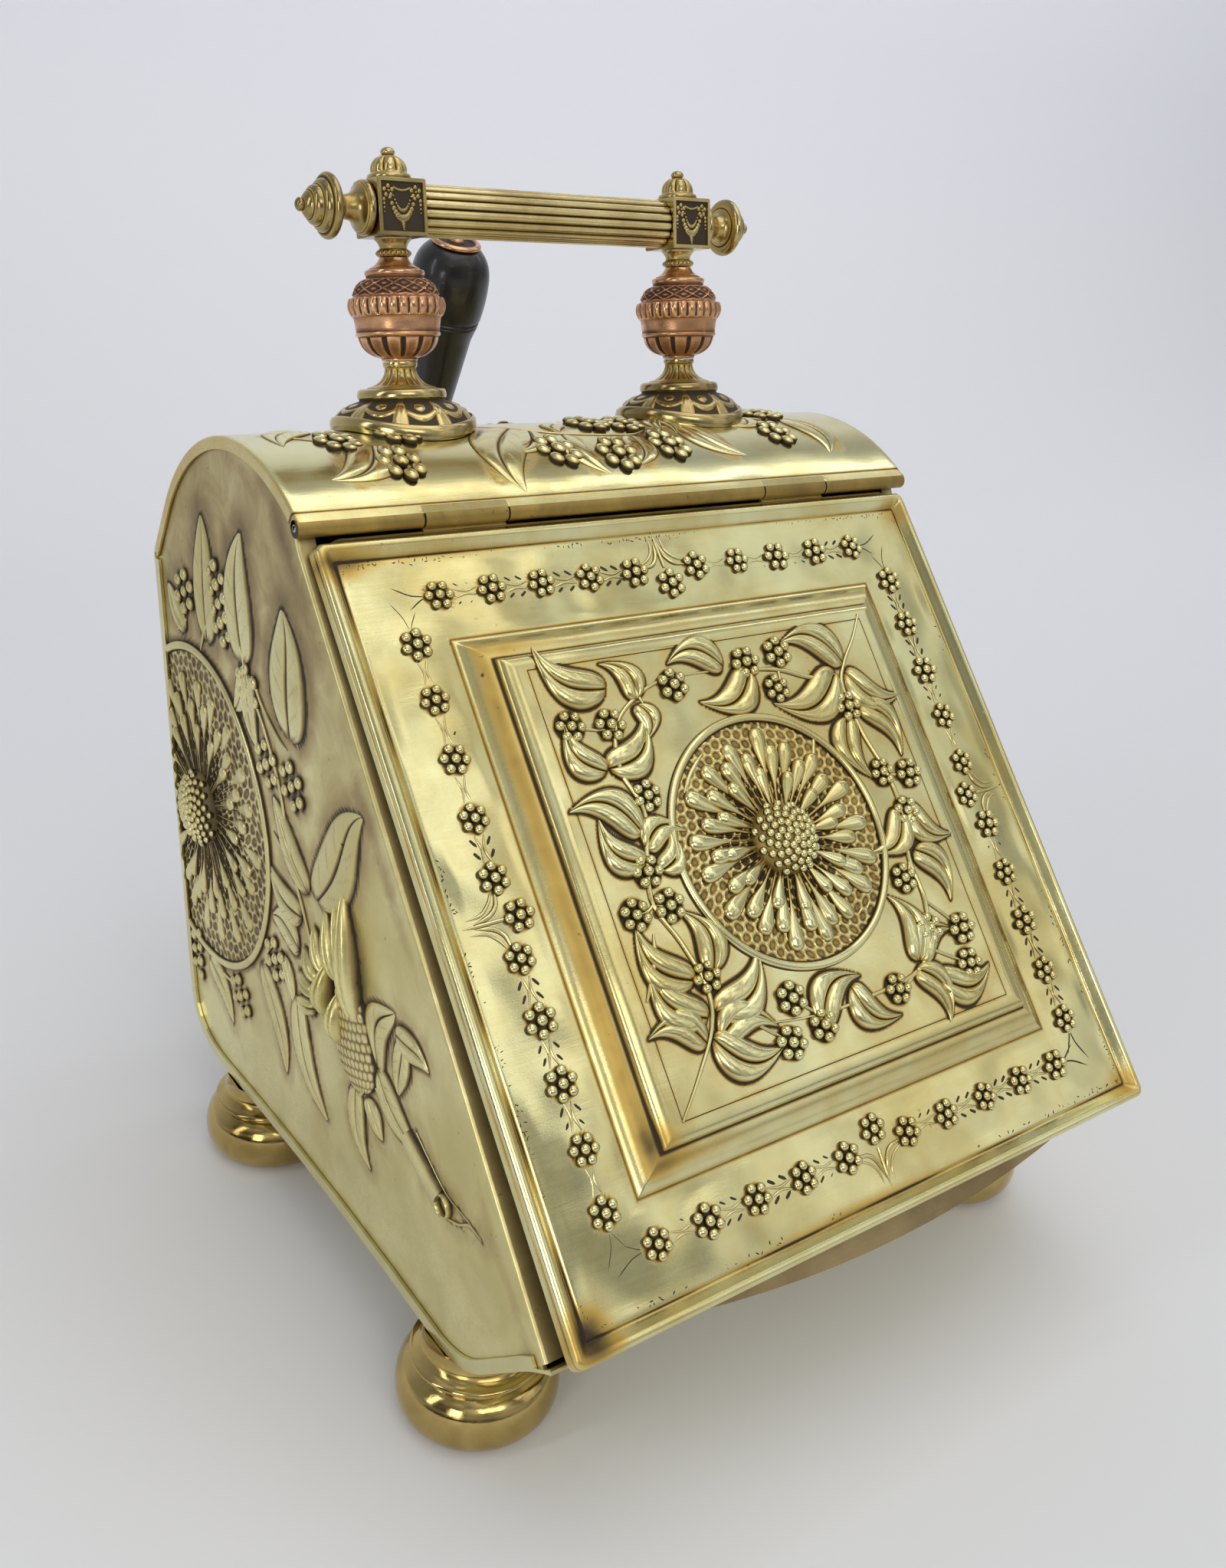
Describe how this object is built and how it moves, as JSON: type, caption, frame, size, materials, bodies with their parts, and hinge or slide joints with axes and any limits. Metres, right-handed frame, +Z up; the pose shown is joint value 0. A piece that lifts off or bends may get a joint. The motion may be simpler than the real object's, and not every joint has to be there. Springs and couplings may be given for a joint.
{
  "type": "coal scuttle",
  "caption": "Box-shaped brass coal scuttle on bun feet, with a sloping hinged lid, carrying handle, inner coal liner and a shovel hung behind.",
  "frame": {"origin": "on the ground, under the middle of the bounding box", "axes": "+Z up, +X to the right as seen from the front, the lid faces -Y"},
  "size_m": [0.327, 0.3898, 0.439],
  "materials": {
    "case_brass": "hand-worked brass sheet, polished on the high spots and brown in the hollows",
    "lid_brass": "polished pressed brass with brown lacquer in its grooves",
    "lip_brass": "dark stippled brass",
    "cast_brass": "turned and cast brass, polished",
    "copper": "cast copper, polished with dark recesses",
    "steel": "plain drawn steel",
    "japanned_steel": "black japanned steel sheet",
    "ebonised_wood": "ebonised and polished turned wood"
  },
  "bodies": {
    "root": {"floor_sheet": "case_brass", "back_panel": "case_brass", "hood": "case_brass", "side_panel_left": "case_brass", "side_panel_right": "case_brass", "front_lip": "lip_brass", "hinge_pin": "steel", "foot_front_left": "cast_brass", "foot_front_right": "cast_brass", "foot_rear_left": "cast_brass", "foot_rear_right": "cast_brass", "foot_nut_front_left": "steel", "foot_nut_front_right": "steel", "foot_nut_rear_left": "steel", "foot_nut_rear_right": "steel", "pedestal_base_left": "cast_brass", "pedestal_base_right": "cast_brass", "urn_left": "copper", "urn_right": "copper", "collar_left": "cast_brass", "collar_right": "cast_brass", "handle_block_left": "cast_brass", "handle_block_right": "cast_brass", "pedestal_rod_left": "steel", "pedestal_rod_right": "steel", "pedestal_nut_left": "steel", "pedestal_nut_right": "steel", "top_finial_left": "cast_brass", "top_finial_right": "cast_brass", "end_finial_left": "cast_brass", "end_finial_right": "cast_brass", "handle_bar": "cast_brass", "coal_liner": "japanned_steel", "liner_ear_left": "japanned_steel", "liner_ear_right": "japanned_steel", "shovel_holder": "case_brass", "holder_rivet_lower_left": "cast_brass", "holder_rivet_lower_right": "cast_brass", "holder_rivet_upper_left": "cast_brass", "holder_rivet_upper_right": "cast_brass"},
    "lid": {"lid": "lid_brass"},
    "bail": {"liner_bail": "steel"},
    "shovel": {"shovel_pan": "case_brass", "shovel_shank": "cast_brass", "shovel_handle": "ebonised_wood", "shovel_cap": "copper"}
  },
  "joints": [
    {"name": "lid_hinge", "type": "hinge", "parent": "root", "child": "lid", "pos_m": [0, -0.0021, 0.31384], "axis": [-1, 0, 0], "range_deg": [0, 155]},
    {"name": "bail_swing", "type": "hinge", "parent": "root", "child": "bail", "pos_m": [0, 0.03225, 0.24], "axis": [1, 0, 0], "range_deg": [0, 180]},
    {"name": "shovel_lift", "type": "slide", "parent": "root", "child": "shovel", "axis": [0, 0.0846, 0.9964], "range_m": [0, 0.06]}
  ]
}
